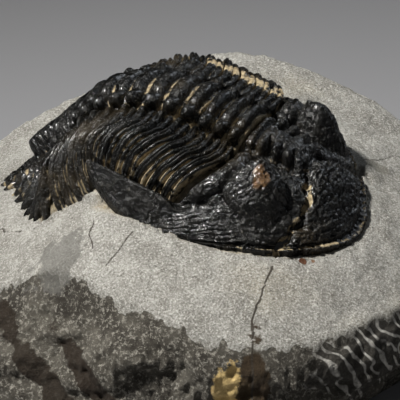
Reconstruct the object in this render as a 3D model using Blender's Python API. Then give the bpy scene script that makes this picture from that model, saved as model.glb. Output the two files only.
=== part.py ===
"""A trilobite fossil lying on the domed limestone that it was found in.

The animal's back is a vault that follows one curved line from head to tail. A point of
it is given in body millimetres: x towards the head, t to its right side, z up. The
shell is a head shield, eleven thoracic segments and a tail shield, each a separate
plate, and the stone fills the hollow beneath them.
"""

import math

import bmesh
import bpy
import numpy as np
from mathutils import Vector, noise
from mathutils.bvhtree import BVHTree

MM = 0.001

# How the animal lies on the stone
HEADING = math.radians(27)  # head end turned from +X towards -Y
ROLL = math.radians(6)  # right side lower than the left
PLACE = (0.9, 2.6, 23.0)  # body x=0, t=0, z=0 in the stone's millimetres

# The back, seen from the side at the level of the axial furrows: (x, z)
BACK_LINE = [
    (-42.0, -8.2), (-36.0, -2.7), (-30.0, 2.8), (-25.1, 7.3), (-21.3, 10.7), (-17.6, 13.7), (-14.0, 16.4),
    (-10.0, 18.0), (-6.0, 18.7), (-2.0, 18.5), (2.0, 17.6), (6.0, 16.4), (10.0, 15.2), (14.0, 13.9),
]
THORAX_FRONT = 10.6
SEGMENTS = 11
SEGMENT_PITCH = 2.42  # the shortest, at both ends of the thorax
MID_PITCH_GAIN = 0.75  # the middle segments are this much longer

# Cross-section of the thorax
AXIS_HALF = 6.0
AXIS_RISE = 2.8
FULCRUM = 13.2  # where a pleura bends down
PLEURA_HALF = 17.6
PLEURA_DROP = 7.2
PLEURA_DROOP = 2.4  # the rear pleurae also slope down all the way from the axis
PLEURA_SWEEP = 4.6  # how far the tips are swept back

# Head shield
HEAD_HALF = 21.2
HEAD_GAP = 0.45  # between its back edge and the first segment
HEAD_FRONT = 29.9
HEAD_DEPTH = 22.5  # its front margin is this far ahead of its widest point
GLABELLA_FRONT = 28.4
EYE_X, EYE_T, EYE_TOP = 16.2, 10.6, 16.4
EYE_LENGTH, EYE_WIDTH = 6.0, 3.8
SPINE_T, SPINE_TIP_X = 18.9, -11.4  # the crest of a genal spine, and how far back it ends

# Tail shield: distances back from its front edge, along the falling back line
TAIL_REACH = 21.4
TAIL_HALF = 16.6
TAIL_DROP = 7.0
TAIL_AXIS_LENGTH = 14.6
TAIL_SPINES = 11
TAIL_SPINE_LENGTH = 4.2

SHELL = 1.1  # thickness of the fossil shell
GAP = 0.35  # clearance between neighbouring plates
BED_GAP = 0.7  # clearance between the plates and the stone beneath them
BED_REACH = 1.9  # the stone keeps clear of any plate within this distance

# Stone
DOME_TOP = 13.0
DOME_X, DOME_Y = 4.0, 22.0
DOME_FALL_X, DOME_FALL_FRONT, DOME_FALL_BACK = 0.0092, 0.0052, 0.0040
MIDDLE = (0.37, 1.52, 0.0)  # of the whole block's box; the outlines below are about (0, 0)
SHOULDER = [  # edge of the prepared top, in plan
    (49, 8), (46, -10), (34, -24), (17, -37.5), (-2, -36), (-22, -22), (-37, -12), (-47, 2),
    (-45, 24), (-33, 38), (-10, 43), (15, 40), (38, 28),
]
FOOT = [  # edge of the flat base, in plan, at the same bearings
    (44, 7), (40, -9), (29, -23), (15, -36), (-4, -39), (-24, -30), (-38, -20), (-45, -1),
    (-42, 20), (-30, 34), (-9, 39), (14, 37), (35, 25),
]
CONTACT_REACH = 6.0  # the stone climbs to meet the shell over about this distance

HEAD_GRID = (36, 14)  # columns and rows
TAIL_GRID = (44, 10)
STONE_GRID = (72, 60)
FLANK = [0, 0.16, 0.36, 0.6, 0.84, 1]  # levels down the broken flanks

LIMESTONE = ((0.47, 0.45, 0.40), 0.9)
FOSSIL = ((0.022, 0.022, 0.020), 0.4)


def smooth_curve(points, count):
    """Points along a Catmull-Rom curve through the given ones."""
    given = np.array(points, float)
    ends = np.vstack([2 * given[0] - given[1], given, 2 * given[-1] - given[-2]])
    pieces = []
    share = np.linspace(0, 1, count, endpoint=False)[:, None]
    for a, b, c, d in zip(ends[:-3], ends[1:-2], ends[2:-1], ends[3:]):
        bend = 2 * a - 5 * b + 4 * c - d
        pieces.append(0.5 * (2 * b + (c - a) * share + bend * share**2 + (3 * b - a - 3 * c + d) * share**3))
    return np.vstack([*pieces, given[-1:]])


BACK = smooth_curve(BACK_LINE, 24)
BACK_SLOPE = np.gradient(BACK[:, 1], BACK[:, 0])
BACK_ARC = np.concatenate([[0], np.cumsum(np.hypot(*np.diff(BACK, axis=0).T))])

def segment_starts():
    """Arc lengths of the boundaries between the thoracic segments, from the head back."""
    arc = float(np.interp(THORAX_FRONT, BACK[:, 0], BACK_ARC))
    edges = [arc]
    for i in range(SEGMENTS):
        arc -= SEGMENT_PITCH + MID_PITCH_GAIN * math.sin(math.pi * (i + 0.5) / SEGMENTS)
        edges.append(arc)
    return edges


THORAX_FRONT_ARC, THORAX_BACK_ARC = segment_starts()[0], segment_starts()[-1]

FORWARD = np.array([math.cos(HEADING), -math.sin(HEADING), 0])
LEVEL_RIGHT = np.array([-math.sin(HEADING), -math.cos(HEADING), 0])
UP = np.array([0.0, 0.0, 1.0])
RIGHT = LEVEL_RIGHT * math.cos(ROLL) - UP * math.sin(ROLL)
RISE = UP * math.cos(ROLL) + LEVEL_RIGHT * math.sin(ROLL)


def smoothstep(low, high, value):
    share = np.clip((value - low) / (high - low), 0, 1)
    return share * share * (3 - 2 * share)


def world(x, t, z):
    """A body point in world millimetres."""
    return np.array(PLACE) + x * FORWARD + t * RIGHT + z * RISE


def shell(x, t, z, depth):
    """World point a given depth inside the shell's outer surface; outside it if negative."""
    inward = np.array([-0.15 * x, -0.3 * t, -8.0])
    return world(*(np.array([x, t, z]) + inward * depth / np.linalg.norm(inward)))


def from_back(arc, t, h):
    """The body point h above the back line, measured square to it, at that arc length."""
    x = np.interp(arc, BACK_ARC, BACK[:, 0])
    z = np.interp(arc, BACK_ARC, BACK[:, 1])
    slope = np.interp(arc, BACK_ARC, BACK_SLOPE)
    length = math.hypot(1, slope)
    return x - h * slope / length, t, z + h / length


def thorax_section(w):
    """Cross-section of the thorax: (t, h) for w from -1 at the left tip to 1 at the right."""
    side, reach = math.copysign(1, w), abs(w)
    if reach < 0.34:
        t = AXIS_HALF * reach / 0.34
        h = AXIS_RISE * (1 - (t / AXIS_HALF) ** 2) ** 0.7
    elif reach < 0.62:
        share = (reach - 0.34) / 0.28
        t = AXIS_HALF + (FULCRUM - AXIS_HALF) * share
        h = 0.5 * share + 0.5 * math.sin(math.pi * share)
    else:
        bend = (reach - 0.62) / 0.38 * math.pi / 2
        t = FULCRUM + (PLEURA_HALF - FULCRUM) * math.sin(bend)
        h = 0.5 - PLEURA_DROP * (1 - math.cos(bend)) ** 0.9
    return side * t, h


SECTION = np.array([thorax_section(w) for w in np.linspace(-1, 1, 81)])


def section_height(t):
    """Height of the thorax's cross-section at that distance from the midline."""
    return float(np.interp(t, SECTION[:, 0], SECTION[:, 1]))


def droop(arc, t):
    """How much lower a pleura lies towards the tail."""
    rearward = 1 - smoothstep(0, 13, arc - THORAX_BACK_ARC)
    return PLEURA_DROOP * rearward * (max(0, abs(t) - AXIS_HALF) / 11.6) ** 1.6


def pleura_sweep(t):
    return PLEURA_SWEEP * np.clip((abs(t) - 10.5) / (PLEURA_HALF - 10.5), 0, 1.1) ** 1.4


def head_front_edge(t):
    """x of the head shield's front margin at that distance from the midline."""
    across = min(abs(t) / HEAD_HALF, 1)
    return HEAD_FRONT - HEAD_DEPTH * (1 - math.sqrt(1 - across**1.75))


def head_back_edge(t):
    """x of the head shield's back margin, which runs out into the genal spines."""
    off = abs(t)
    seam = min(off, PLEURA_HALF)
    arc = THORAX_FRONT_ARC - pleura_sweep(seam)
    edge = from_back(arc, seam, section_height(seam) - droop(arc, seam))[0] + HEAD_GAP
    inner, outer = smoothstep(SPINE_T - 1.5, SPINE_T, off), 2.3 * max(0, off - SPINE_T)
    return edge + (SPINE_TIP_X - edge) * inner + outer


def head_margin_level(x):
    return 8.6 - 0.28 * x


def head_height(x, t):
    """z of the head shield's outer surface."""
    off = abs(t)
    edge = head_margin_level(x)
    ahead = max(0, x - 9) / (HEAD_FRONT - 9)
    out = min(1, math.hypot(ahead, off / HEAD_HALF))
    crown = 14.8 - 0.14 * max(0, x - 12)
    cheek = edge + (crown - edge) * (1 - out**2.8) ** 0.8
    half = 4.8 + 5.4 * smoothstep(14, 23, x)
    over = 1 - smoothstep(half - 1.6, half + 1.0, off)
    front = 1 - smoothstep(GLABELLA_FRONT - 9, GLABELLA_FRONT + 0.6, x) ** 1.5
    glabella = 3.0 * over * (1 - 0.35 * (off / half) ** 2) * front
    eye_gap = math.hypot((x - EYE_X) / EYE_LENGTH, (off - EYE_T) / EYE_WIDTH)
    eye = max(0, EYE_TOP - cheek) * (1 - smoothstep(0.4, 1.1, eye_gap))
    blade = 12.7 - 0.305 * x - 2.1 * max(0, off - SPINE_T) - 0.5 * max(0, SPINE_T - off)
    z = cheek + glabella + eye
    return z + (blade - z) * smoothstep(9, 3, x) * smoothstep(PLEURA_HALF - 1.8, PLEURA_HALF + 0.4, off)


def head_point(u, v, depth):
    w = 2 * u - 1
    t = HEAD_HALF * (0.45 * w + 0.55 * math.sin(w * math.pi / 2))
    back, front = head_back_edge(t), head_front_edge(t)
    x = back + (front - back) * (math.sin(v * math.pi / 2) * 0.45 + v * 0.55)
    return world(x, t, head_height(x, t) - depth)


def tail_point(u, v, depth):
    """u fans from the left end of the tail's front edge round to its right, v runs outward."""
    w = 2 * u - 1
    fan = w * math.pi / 2
    share = v**0.85
    reach = TAIL_REACH * (1 - abs(w)) ** 1.25 * share
    off_spine = abs((u * TAIL_SPINES) % 1 - 0.5) * 2
    spine = TAIL_SPINE_LENGTH * (1 - off_spine) * smoothstep(0.97, 1.0, v)
    t = math.copysign(abs(math.sin(fan)) ** 0.9, w) * share * TAIL_HALF
    back = 0.2 + reach + pleura_sweep(t) + spine
    t += math.sin(fan) * 0.35 * spine
    blend = smoothstep(0, 9, back - pleura_sweep(t))
    half = AXIS_HALF - 3.6 * np.clip(back / TAIL_AXIS_LENGTH, 0, 1)
    on_axis = 1 - smoothstep(0.45, 1.0, abs(t) / half)
    end = 1 - smoothstep(TAIL_AXIS_LENGTH - 2.0, TAIL_AXIS_LENGTH + 1.0, back)
    h_tail = 2.6 * on_axis * end - TAIL_DROP * (min(abs(t), 19) / 17) ** 2
    h_front = section_height(t) - droop(THORAX_BACK_ARC, t)
    x, t, z = from_back(THORAX_BACK_ARC - back, t, h_front + (h_tail - h_front) * blend)
    return shell(x, t, z, depth)


def segment_point(front, back, u, v, depth):
    t, h = thorax_section(2 * u - 1)
    arc = back + (front - back) * v - pleura_sweep(t)
    relief = (0.55 if abs(t) < AXIS_HALF else 0.3) * math.sin(math.pi * v)
    return shell(*from_back(arc, t, h + relief - droop(arc, t)), depth)


def material(name, look):
    colour, roughness = look
    made = bpy.data.materials.new(name)
    made.use_nodes = True
    shader = made.node_tree.nodes["Principled BSDF"]
    shader.inputs["Base Color"].default_value = (*colour, 1)
    shader.inputs["Roughness"].default_value = roughness
    shader.inputs["Metallic"].default_value = 0
    return made


def slab(name, columns, rows, place, collection, depths=(0.0, SHELL)):
    """A plate: a grid given a layer for each depth, then bent to its place layer by layer.

    place(u, v, depth) gives a world point for u and v from 0 to 1 across the grid.
    """
    mesh = bpy.data.meshes.new(name)
    bm = bmesh.new()
    made = bmesh.ops.create_grid(bm, x_segments=columns, y_segments=rows, size=0.5)
    faces = bm.faces[:]
    for _ in depths[1:]:
        made = bmesh.ops.extrude_face_region(bm, geom=faces)
        moved = [item for item in made["geom"] if isinstance(item, bmesh.types.BMVert)]
        faces = [item for item in made["geom"] if isinstance(item, bmesh.types.BMFace)]
        bmesh.ops.translate(bm, verts=moved, vec=(0, 0, -1))
    inner = [face for face in bm.faces if all(abs(v.co.z - face.verts[0].co.z) < 0.1 for v in face.verts)
             and -len(depths) + 1.5 < face.verts[0].co.z < -0.5]
    bmesh.ops.delete(bm, geom=inner, context="FACES")
    for vert in bm.verts:
        depth = depths[round(-vert.co.z)]
        vert.co = Vector((place(vert.co.x + 0.5, vert.co.y + 0.5, depth) - MIDDLE) * MM)
    bmesh.ops.remove_doubles(bm, verts=bm.verts, dist=0.02 * MM)
    bmesh.ops.recalc_face_normals(bm, faces=bm.faces)
    bm.to_mesh(mesh)
    bm.free()
    made = bpy.data.objects.new(name, mesh)
    collection.objects.link(made)
    return made


def outline(points):
    """A closed outline in plan as bearings and radii, for np.interp."""
    closed = smooth_curve([*points, points[0]], 8)
    bearings = np.unwrap(np.arctan2(closed[:, 1], closed[:, 0]))
    turn = 1 if bearings[-1] > bearings[0] else -1
    return bearings[::turn], np.hypot(*closed.T)[::turn]


def contact_points():
    """World points where the edge of the shell meets the stone."""
    found = [head_point(u, 1, 0) for u in np.linspace(0.04, 0.96, 15)]
    edges = segment_starts()
    for front, back in list(zip(edges, edges[1:]))[2::2]:
        found += [segment_point(front, back, u, 0.5, 0) for u in (0, 1)]
    found += [tail_point(u, 1, 0) for u in np.linspace(0.08, 0.92, 9)]
    return np.array(found)


def dome(x, y, contacts):
    """z of the stone's prepared top, in world millimetres."""
    cx, cy, cz = contacts.T

    def bare(px, py):
        fall = np.where(py < DOME_Y, DOME_FALL_FRONT, DOME_FALL_BACK)
        return PLACE[2] + DOME_TOP - DOME_FALL_X * (px - DOME_X) ** 2 - fall * (py - DOME_Y) ** 2

    weight = np.exp(-((x - cx) ** 2 + (y - cy) ** 2) / (2 * CONTACT_REACH**2))
    need = cz - 0.5 - bare(cx, cy)
    return float(bare(x, y) + (weight * need).sum() / (weight.sum() + 0.25))


def bedded(x, y, level, plates):
    """The stone's height at a place: up to just below the plates where they cover it."""
    hits = []
    for k in range(49):
        reach, bearing = BED_REACH * math.ceil(k / 16) / 3, k * math.pi / 8
        aim = Vector((math.cos(bearing), math.sin(bearing), 0))
        start = (Vector((x, y, 0)) + aim * reach - Vector(MIDDLE)) * MM
        hit = plates.ray_cast(start, Vector((0, 0, 1)))[0]
        if hit:
            hits.append(hit.z / MM - BED_GAP)
    if not hits:
        return level
    return min(hits) if len(hits) > 30 else min(level, *hits)


def matrix_stone(plates, collection):
    """The block: a grid rounded to the top's outline, then let down to the base in levels."""
    shoulder, foot = outline(SHOULDER), outline(FOOT)
    contacts = contact_points()
    tree = bmesh.new()
    for plate in plates:
        tree.from_mesh(plate.data)
    cover = BVHTree.FromBMesh(tree)
    tree.free()

    def place(u, v, down):
        a, b = ((2 * k - 1) * (0.78 + 0.22 * (2 * k - 1) ** 2) for k in (u, v))
        px, py = a * math.sqrt(1 - b * b / 2), b * math.sqrt(1 - a * a / 2)
        bearing, share = math.atan2(py, px), math.hypot(px, py)
        top = np.interp(bearing, *shoulder, period=2 * math.pi)
        base = np.interp(bearing, *foot, period=2 * math.pi)
        reach = share * (top + (base - top) * down)
        x, y = reach * math.cos(bearing), reach * math.sin(bearing)
        if down == 0:
            return np.array([x, y, bedded(x, y, dome(x, y, contacts), cover)])
        z = dome(top * math.cos(bearing), top * math.sin(bearing), contacts) * (1 - down)
        rough = 2.2 * math.sin(math.pi * down) * (0.6 + noise.noise(Vector((x, y, z)) * 0.11))
        return np.array([x * (1 + rough / 50), y * (1 + rough / 50), z])

    return slab("matrix_stone", *STONE_GRID, place, collection, FLANK)


def main():
    for old in list(bpy.data.objects):
        bpy.data.objects.remove(old)
    parts = bpy.data.collections.new("trilobite_fossil")
    bpy.context.scene.collection.children.link(parts)
    limestone = material("limestone", LIMESTONE)
    fossil = material("fossil_shell", FOSSIL)

    plates = [slab("head_shield", *HEAD_GRID, head_point, parts)]
    edges = segment_starts()
    for i, (front, back) in enumerate(zip(edges, edges[1:]), 1):
        def place(u, v, depth, front=front - GAP / 2, back=back + GAP / 2):
            return segment_point(front, back, u, v, depth)
        plates.append(slab(f"thorax_segment_{i:02d}", 20, 3, place, parts))
    plates.append(slab("tail_shield", *TAIL_GRID, tail_point, parts))
    for plate in plates:
        plate.data.materials.append(fossil)
    matrix_stone(plates, parts).data.materials.append(limestone)


main()
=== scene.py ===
# %% [markdown]
# # A trilobite fossil in its matrix
# A trilobite is a sea animal that died some 400 million years ago. Its shell is now black calcite, and
# the mud that it lay in is pale limestone. A preparator has dug the rock away until the animal stands
# free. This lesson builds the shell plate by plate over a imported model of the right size, then beds it in
# the stone.

import math

import bmesh
import bpy
import numpy as np
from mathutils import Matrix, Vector, noise
from mathutils.bvhtree import BVHTree

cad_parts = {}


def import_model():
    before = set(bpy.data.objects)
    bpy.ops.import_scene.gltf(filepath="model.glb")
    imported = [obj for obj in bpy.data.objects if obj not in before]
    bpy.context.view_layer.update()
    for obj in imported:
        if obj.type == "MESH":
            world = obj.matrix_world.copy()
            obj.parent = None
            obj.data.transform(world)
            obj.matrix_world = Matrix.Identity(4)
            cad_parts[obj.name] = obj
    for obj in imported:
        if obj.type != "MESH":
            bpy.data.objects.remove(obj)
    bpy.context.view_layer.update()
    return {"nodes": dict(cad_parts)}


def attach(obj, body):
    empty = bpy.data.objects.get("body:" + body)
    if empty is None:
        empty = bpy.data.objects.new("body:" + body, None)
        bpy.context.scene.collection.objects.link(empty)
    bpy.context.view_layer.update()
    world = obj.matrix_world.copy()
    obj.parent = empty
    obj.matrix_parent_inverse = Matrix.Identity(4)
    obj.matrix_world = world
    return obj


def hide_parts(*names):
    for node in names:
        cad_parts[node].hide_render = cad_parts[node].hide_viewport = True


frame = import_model()
MM = 0.001
print("nodes:", sorted(frame["nodes"]))

# %% [markdown]
# ## The way the animal lies
# Every plate is bent over one curved line, the back, so the whole body needs a set of axes of its own: x
# runs to the head, t to the animal's right and z up. The back is seen from the side as a smooth curve
# through a few points. Lengths along that curve keep the segments evenly spaced where it is steep. Steps
# in x would not.

# %% Body axes and the back line
HEADING, ROLL = math.radians(27), math.radians(6)
PLACE = np.array([0.53, 1.08, 23.0])
FORWARD = np.array([math.cos(HEADING), -math.sin(HEADING), 0])
LEVEL_RIGHT = np.array([-math.sin(HEADING), -math.cos(HEADING), 0])
UP = np.array([0.0, 0.0, 1.0])
RIGHT = LEVEL_RIGHT * math.cos(ROLL) - UP * math.sin(ROLL)
RISE = UP * math.cos(ROLL) + LEVEL_RIGHT * math.sin(ROLL)
BACK_LINE = [
    (-42.0, -8.2), (-36.0, -2.7), (-30.0, 2.8), (-25.1, 7.3), (-21.3, 10.7), (-17.6, 13.7), (-14.0, 16.4),
    (-10.0, 18.0), (-6.0, 18.7), (-2.0, 18.5), (2.0, 17.6), (6.0, 16.4), (10.0, 15.2), (14.0, 13.9),
]


def smooth_curve(points, count):
    """Points along a Catmull-Rom curve through the given ones."""
    given = np.array(points, float)
    ends = np.vstack([2 * given[0] - given[1], given, 2 * given[-1] - given[-2]])
    share = np.linspace(0, 1, count, endpoint=False)[:, None]
    pieces = []
    for a, b, c, d in zip(ends[:-3], ends[1:-2], ends[2:-1], ends[3:]):
        bend = 2 * a - 5 * b + 4 * c - d
        twist = 3 * b - a - 3 * c + d
        pieces.append(0.5 * (2 * b + (c - a) * share + bend * share**2 + twist * share**3))
    return np.vstack([*pieces, given[-1:]])


BACK = smooth_curve(BACK_LINE, 24)
BACK_SLOPE = np.gradient(BACK[:, 1], BACK[:, 0])
BACK_ARC = np.concatenate([[0], np.cumsum(np.hypot(*np.diff(BACK, axis=0).T))])
print("the back is", round(float(BACK_ARC[-1]), 1), "mm long over its curve")


# %% [markdown]
# ## Small tools
# Soft steps, bumps and lines are the brush strokes of this model. A step eases from 0 to 1, a bump is a
# hill of a given width, and a line is strongest on a short run of points and fades to its sides. Noise
# stands in for the grain of a real fossil. It is always drawn in the same place, so the model comes out
# the same each time.

# %% Steps, bumps, noise and lines
def step(low, high, value):
    share = np.clip((value - low) / (high - low), 0, 1)
    return share * share * (3 - 2 * share)


def bump(value, centre, width):
    return np.exp(-(((value - centre) / width) ** 2))


def rough(points, size, seed=0, octaves=2):
    """Noise from about -1 to 1 at each point, with lumps of that size in millimetres."""
    shift = Vector((seed * 7.3, seed * 3.1, seed * 5.7))
    scaled = np.asarray(points) / size
    return np.array([noise.fractal(Vector(p) + shift, 0.8, 2.2, octaves) for p in scaled])


def near_line(x, y, points, width):
    """1 on a bent line and 0 beyond its width."""
    nearest = np.full(x.shape, np.inf)
    for (ax, ay), (bx, by) in zip(points, points[1:]):
        along_x, along_y = bx - ax, by - ay
        share = ((x - ax) * along_x + (y - ay) * along_y) / (along_x**2 + along_y**2)
        share = np.clip(share, 0, 1)
        nearest = np.minimum(nearest, np.hypot(x - ax - share * along_x, y - ay - share * along_y))
    return np.clip(1 - nearest / width, 0, 1)


# %% [markdown]
# The next four work on places: from body axes to the world, from the surface inwards, which way a surface
# faces, and a height over the back line. Relief has to stand square to the surface that it is on, or it
# would be lost on the steep sides of the animal.

# %% Places on the body and in the world
def world(x, t, z):
    """World millimetres of points in body millimetres."""
    x, t, z = np.broadcast_arrays(x, t, z)
    return PLACE + np.outer(x, FORWARD) + np.outer(t, RIGHT) + np.outer(z, RISE)


def shell(x, t, z, depth):
    """World points a depth inside the surface, towards the animal's middle."""
    x, t, z = np.broadcast_arrays(x, t, z)
    inward = np.stack([-0.15 * x, -0.3 * t, np.full(x.shape, -8.0)], -1)
    inward *= (depth / np.linalg.norm(inward, axis=1))[:, None]
    return world(x + inward[:, 0], t + inward[:, 1], z + inward[:, 2])


def facing(surface, u, v, reach=0.012):
    """Unit normals of a surface of (u, v), on the side that is mostly up."""
    along = surface(np.minimum(u + reach, 1), v) - surface(np.maximum(u - reach, 0), v)
    across = surface(u, np.minimum(v + reach, 1)) - surface(u, np.maximum(v - reach, 0.001))
    normal = np.cross(along, across)
    normal /= np.maximum(np.linalg.norm(normal, axis=1), 1e-9)[:, None]
    return normal * np.sign(normal[:, 2].mean())


def from_back(arc, t, h):
    """Body coordinates of the point h above the back line, square to it, at an arc length."""
    x, z = np.interp(arc, BACK_ARC, BACK[:, 0]), np.interp(arc, BACK_ARC, BACK[:, 1])
    slope = np.interp(arc, BACK_ARC, BACK_SLOPE)
    length = np.hypot(1, slope)
    return x - h * slope / length, t, z + h / length


# %% [markdown]
# ## One way to make every plate
# A shell plate is a sheet with a thickness. It could be pulled from a box by hand, but formulas keep
# dozens of ribs alike and in line. So a flat grid is made first, and its faces are extruded to give it an
# underside. Then every point is moved to where the anatomy says. The same call also writes how deep each
# point lies in a furrow, so that the material can leave dust there.

# %% The plate maker
SHELL = 1.1
pieces = {}


def fresh(made, kind):
    """The points or edges that an extrusion has just made."""
    return [item for item in made["geom"] if isinstance(item, kind)]


def grid_with_underside(columns, rows):
    """A closed box of grid cells; its upper side is at height 0 and its underside at -1."""
    bm = bmesh.new()
    bmesh.ops.create_grid(bm, x_segments=columns, y_segments=rows, size=0.5)
    made = bmesh.ops.extrude_face_region(bm, geom=bm.faces[:])
    bmesh.ops.translate(bm, verts=fresh(made, bmesh.types.BMVert), vec=(0, 0, -1))
    return bm


def finish_mesh(bm, name):
    """Merges doubled points, turns the faces outwards and makes the object."""
    bmesh.ops.remove_doubles(bm, verts=bm.verts, dist=0.003 * MM)
    bmesh.ops.recalc_face_normals(bm, faces=bm.faces)
    mesh = bpy.data.meshes.new(name)
    bm.to_mesh(mesh)
    bm.free()
    mesh.shade_smooth()
    piece = bpy.data.objects.new(name, mesh)
    bpy.context.scene.collection.objects.link(piece)
    pieces[name] = piece
    return piece


def make_plate(name, columns, rows, place):
    """place(u, v, depth) gives world millimetres, a furrow value and perhaps a worn value."""
    bm = grid_with_underside(columns, rows)
    flat = np.array([vert.co[:] for vert in bm.verts])
    depth = np.where(flat[:, 2] < -0.5, SHELL, 0.0)
    where, *values = place(flat[:, 0] + 0.5, flat[:, 1] + 0.5, depth)
    for vert, point in zip(bm.verts, where * MM):
        vert.co = point
    for layer_name, amounts in zip(("furrow", "worn"), values):
        layer = bm.verts.layers.float.new(layer_name)
        for vert, amount in zip(bm.verts, amounts):
            vert[layer] = amount
    piece = finish_mesh(bm, name)
    print(name, "has", len(piece.data.polygons), "faces")
    return piece


# %% [markdown]
# ## The cross-section of the body
# Cut across, a trilobite shows the three lobes that it is named for: a raised axis, and on each side a
# pleura that runs out level, then bends down like the eave of a roof. Towards the tail the pleurae slope
# from the axis onwards. Their tips are swept back.

# %% The section
AXIS_HALF, AXIS_RISE, AXIS_SHARE = 6.0, 2.8, 0.34
FULCRUM, FULCRUM_SHARE = 13.2, 0.62
PLEURA_HALF, PLEURA_DROP, PLEURA_DROOP, PLEURA_SWEEP, SWEEP_START = 17.6, 7.2, 2.4, 4.6, 10.5
THORAX_FRONT, SEGMENTS, SEGMENT_PITCH, MID_PITCH_GAIN = 10.6, 11, 2.42, 0.75


def section_at(w):
    """(t, h) of the thorax's section for w from -1 at the left tip to 1 at the right."""
    reach = np.abs(w)
    axis = AXIS_HALF * np.minimum(reach / AXIS_SHARE, 1)
    level = np.clip((reach - AXIS_SHARE) / (FULCRUM_SHARE - AXIS_SHARE), 0, 1)
    bend = np.clip((reach - FULCRUM_SHARE) / (1 - FULCRUM_SHARE), 0, 1) * math.pi / 2
    t = axis + (FULCRUM - AXIS_HALF) * level + (PLEURA_HALF - FULCRUM) * np.sin(bend)
    h = AXIS_RISE * (1 - (axis / AXIS_HALF) ** 2) ** 0.7 + 0.5 * level + 0.5 * np.sin(math.pi * level)
    return np.sign(w) * t, h - PLEURA_DROP * (1 - np.cos(bend)) ** 0.9


SECTION = np.stack(section_at(np.linspace(-1, 1, 201)), -1)


def droop(arc, t):
    """How much lower the pleurae lie towards the tail."""
    rearward = 1 - step(0, 13, arc - THORAX_BACK_ARC)
    outward = np.maximum(0, np.abs(t) - AXIS_HALF) / (PLEURA_HALF - AXIS_HALF)
    return PLEURA_DROOP * rearward * outward**1.6


def pleura_sweep(t):
    """How far back a pleura has been swept at that distance from the midline."""
    outward = (np.abs(t) - SWEEP_START) / (PLEURA_HALF - SWEEP_START)
    return PLEURA_SWEEP * np.clip(outward, 0, 1.1) ** 1.4


def segment_edges():
    """Arc lengths of the boundaries between segments, from the head back."""
    arc = float(np.interp(THORAX_FRONT, BACK[:, 0], BACK_ARC))
    edges = [arc]
    for i in range(SEGMENTS):
        arc -= SEGMENT_PITCH + MID_PITCH_GAIN * math.sin(math.pi * (i + 0.5) / SEGMENTS)
        edges.append(arc)
    return edges


EDGES = segment_edges()
THORAX_FRONT_ARC, THORAX_BACK_ARC = EDGES[0], EDGES[-1]
print("thorax:", round(THORAX_FRONT_ARC - THORAX_BACK_ARC, 1), "mm along the back")


# %% [markdown]
# ## The thorax
# Each segment is a raised ring with a knob at both ends, and two pleurae. A furrow splits each pleura
# into a narrow front band and a broad rear band, so eleven segments read as twice as many ribs. The
# segments were loose plates in life, so each one here is shifted a little at random. The preparator left
# a strip of rock on the left side of the first few, which fills their furrows.

# %% Eleven thoracic segments
SEAM = 0.16
SEGMENT_GRID = (300, 26)
STRIP_T, STRIP_HALF, STRIP_LAST = -11.8, 1.7, 5


def band(v, low, high):
    """A round-topped ridge between two values of v."""
    return np.clip(1 - ((v - (low + high) / 2) / ((high - low) / 2)) ** 2, 0, 1) ** 0.5


def segment_relief(t, v):
    """Height added over one segment; v runs from its rear edge to its front edge."""
    off = np.abs(t)
    on_axis = 1 - step(5.3, 6.3, off)
    swell = 1 + 0.45 * bump(off, 4.9, 0.9) - 0.22 * bump(off, 3.6, 0.6)
    ring = 1.75 * band(v, 0.0, 0.82) ** 0.8 * swell + 0.4 * band(v, 0.8, 1.02)
    split = 0.52 + 0.14 * step(7, 16, off)
    crease = 0.35 * bump(v, 0.26 + 0.1 * step(8, 15, off), 0.05) * step(7, 9, off)
    pleura = 1.35 * band(v, -0.02, split) + 1.0 * band(v, split, 1.02) - crease
    pleura = pleura * (1 + 0.45 * bump(off, 7.5, 0.8)) * (1 - 0.3 * step(14.5, 17.6, off))
    return ring * on_axis + pleura * (1 - on_axis) - 0.7 - 0.7 * bump(off, 6.1, 0.5)


def make_segment(number, front, back):
    rng = np.random.default_rng(number)
    lean, slip = rng.uniform(-0.12, 0.12), rng.uniform(-0.2, 0.2)

    def body(u, v):
        t, h = section_at(2 * u - 1)
        arc = back + SEAM / 2 + (front - back - SEAM) * v - pleura_sweep(t)
        arc = arc + slip * 0.4 * step(6, 16, np.abs(t))
        return from_back(arc, t + slip * 0.5, h + lean - droop(arc, t))

    def place(u, v, depth):
        x, t, z = body(u, v)
        smooth = world(x, t, z)
        relief = segment_relief(t, v)
        clogged = bump(t, STRIP_T, STRIP_HALF) * step(STRIP_LAST + 1.5, STRIP_LAST - 0.5, number)
        relief = relief + (0.45 - relief) * 0.85 * clogged
        grain = 0.16 * rough(smooth, 1.5, number, 1) + 0.05 * rough(smooth, 0.4, number + 40, 1)
        wave = (0.25 * rough(smooth, 3.0, 90 + number, 1))[:, None] * FORWARD
        outer = smooth + facing(lambda a, b: world(*body(a, b)), u, v) * (relief + grain)[:, None]
        inner = shell(x, t, z, depth + 0.5)
        filled = 0.7 * step(13.5, 17, t) * step(7.5, 4.0, number) * step(0.2, -0.4, relief)
        filled = filled + 1.3 * step(0.35, 0.75, clogged)
        settled = np.clip((0.12 - relief) / 0.6 + filled, 0, 1)
        return np.where(depth[:, None] > 0, inner, outer) + wave, settled

    return make_plate(f"thorax_segment_{number:02d}.fossil", *SEGMENT_GRID, place)


for number, (front, back) in enumerate(zip(EDGES, EDGES[1:]), 1):
    make_segment(number, front, back)


# %% [markdown]
# ## The tail
# The tail is one shield. Its axis is a short tapering row of rings that ends bluntly. From it the ribs
# fan out and run off the edge as flat pointed spines. A grid is spread like a hand fan from the middle of
# the front edge, so its columns point the way that the spines do.

# %% The tail shield
TAIL_REACH, TAIL_HALF, TAIL_DROP, TAIL_AXIS_LENGTH = 21.4, 16.6, 7.0, 14.6
TAIL_SPINES, TAIL_SPINE_LENGTH = 19, 5.0
TAIL_GRID = (420, 110)


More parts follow.
